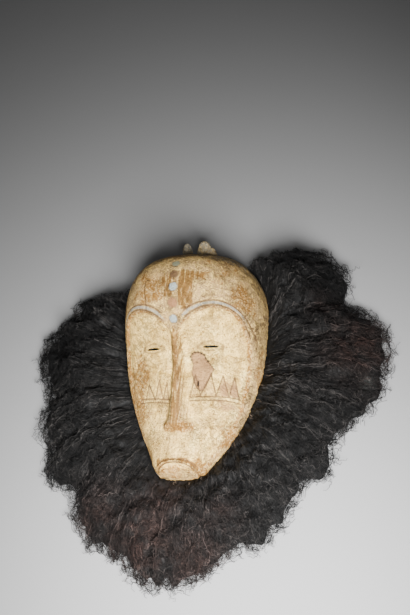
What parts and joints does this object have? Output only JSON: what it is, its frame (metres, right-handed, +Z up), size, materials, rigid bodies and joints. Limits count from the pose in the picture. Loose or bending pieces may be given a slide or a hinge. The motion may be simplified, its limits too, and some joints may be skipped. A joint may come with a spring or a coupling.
{
  "type": "fang ngil mask",
  "caption": "Long hollow wooden mask lying face up, with a domed forehead, heart-shaped face, slit eyes, long nose, small down-turned mouth and a fringe of raffia round its rim.",
  "frame": {"origin": "on the ground, at the centre of the whole part's box in plan; the mask's own middle is 113 mm further towards +Y", "axes": "+Z up out of the face, +Y from the chin towards the crown, +X to the right of someone facing the mask"},
  "size_m": [0.8316, 0.7756, 0.218],
  "materials": {
    "whitened_wood": "light wood under worn white kaolin, with ochre deposits in the cuts, blue-grey brow bands and fine cracks",
    "dyed_raffia": "dry frizzy raffia fibre dyed near black, reddish brown in places"
  },
  "bodies": {
    "root": {"mask": "whitened_wood", "raffia_hank_01": "dyed_raffia", "raffia_hank_02": "dyed_raffia", "raffia_hank_03": "dyed_raffia", "raffia_hank_04": "dyed_raffia", "raffia_hank_05": "dyed_raffia", "raffia_hank_06": "dyed_raffia", "raffia_hank_07": "dyed_raffia", "raffia_hank_08": "dyed_raffia", "raffia_hank_09": "dyed_raffia", "raffia_hank_10": "dyed_raffia", "raffia_hank_11": "dyed_raffia", "raffia_hank_12": "dyed_raffia", "raffia_hank_13": "dyed_raffia", "raffia_hank_14": "dyed_raffia", "raffia_hank_15": "dyed_raffia"}
  },
  "joints": []
}
